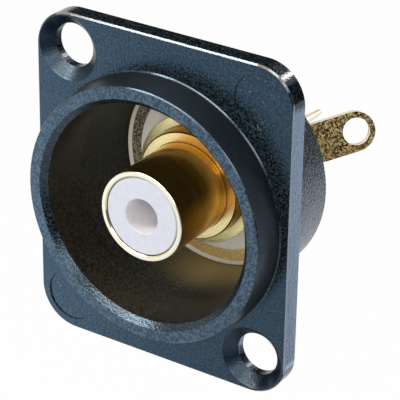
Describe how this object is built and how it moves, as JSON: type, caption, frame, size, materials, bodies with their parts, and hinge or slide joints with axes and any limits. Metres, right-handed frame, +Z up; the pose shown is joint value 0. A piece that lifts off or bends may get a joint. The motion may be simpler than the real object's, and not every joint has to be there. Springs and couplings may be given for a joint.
{
  "type": "panel-mount phono socket",
  "caption": "Panel-mount phono socket: a gold-plated coaxial jack insulated inside the cup of a black die-cast flange, with solder tag and nut behind.",
  "frame": {"origin": "on the socket's axis, in the plane of the flange's rear face, which meets the panel", "axes": "+Y along the axis to the rear, through the panel; +X right as seen from the front; +Z up"},
  "size_m": [0.026, 0.0284, 0.031],
  "materials": {
    "housing": "satin black lacquer on a fine-grained die casting",
    "bright_gold": "polished gold plate",
    "dull_gold": "matt gold plate, finely grained",
    "spacer_plastic": "matt light grey plastic",
    "white_insulator": "satin white plastic",
    "black_washer": "matt black plastic"
  },
  "bodies": {
    "root": {"flange_housing": "housing", "floor_ring": "dull_gold", "insulating_spacer": "spacer_plastic", "flat_washer": "bright_gold", "jack_shell": "bright_gold", "front_insulator": "white_insulator", "centre_contact": "bright_gold", "rear_insulator": "white_insulator", "rear_washer": "black_washer", "solder_tag": "dull_gold", "hex_nut": "bright_gold"}
  },
  "joints": []
}
